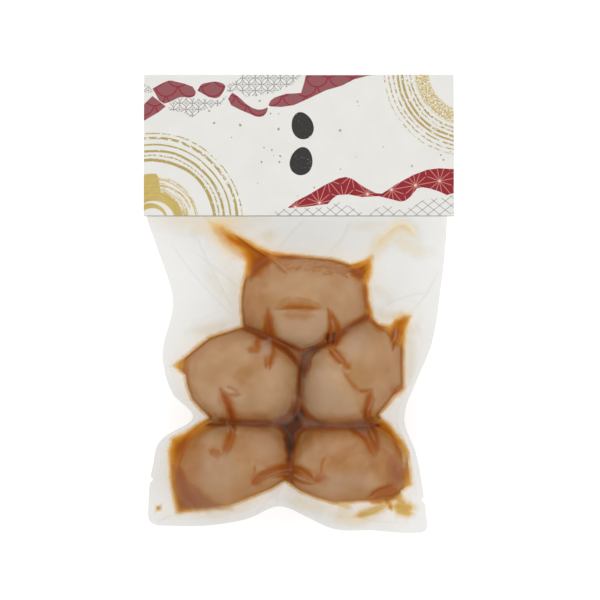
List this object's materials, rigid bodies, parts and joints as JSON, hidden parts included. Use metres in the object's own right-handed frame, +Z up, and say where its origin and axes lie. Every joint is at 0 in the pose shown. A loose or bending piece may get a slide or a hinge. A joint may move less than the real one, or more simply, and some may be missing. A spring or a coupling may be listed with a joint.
{
  "type": "vacuum pack of marinated eggs",
  "caption": "Clear vacuum pouch drawn tight over whole marinated eggs in dark marinade, with a wavy sealed rim and a folded card over its top edge.",
  "frame": {"origin": "on the surface the pack lies on, under the middle of its bounding box", "axes": "+X to the right and +Y towards the header card as the shown side is read, +Z up out of the shown side"},
  "size_m": [0.1428, 0.2112, 0.0403],
  "materials": {
    "film_over_marinade": "clear glossy film over thin brown marinade",
    "card": "off-white uncoated card with printed fields of colour",
    "egg": "smooth tan cooked egg white stained by marinade",
    "clear_film": "clear slightly milky glossy film"
  },
  "bodies": {
    "root": {"vacuum_pouch": "film_over_marinade", "header_card": "card"}
  },
  "joints": []
}
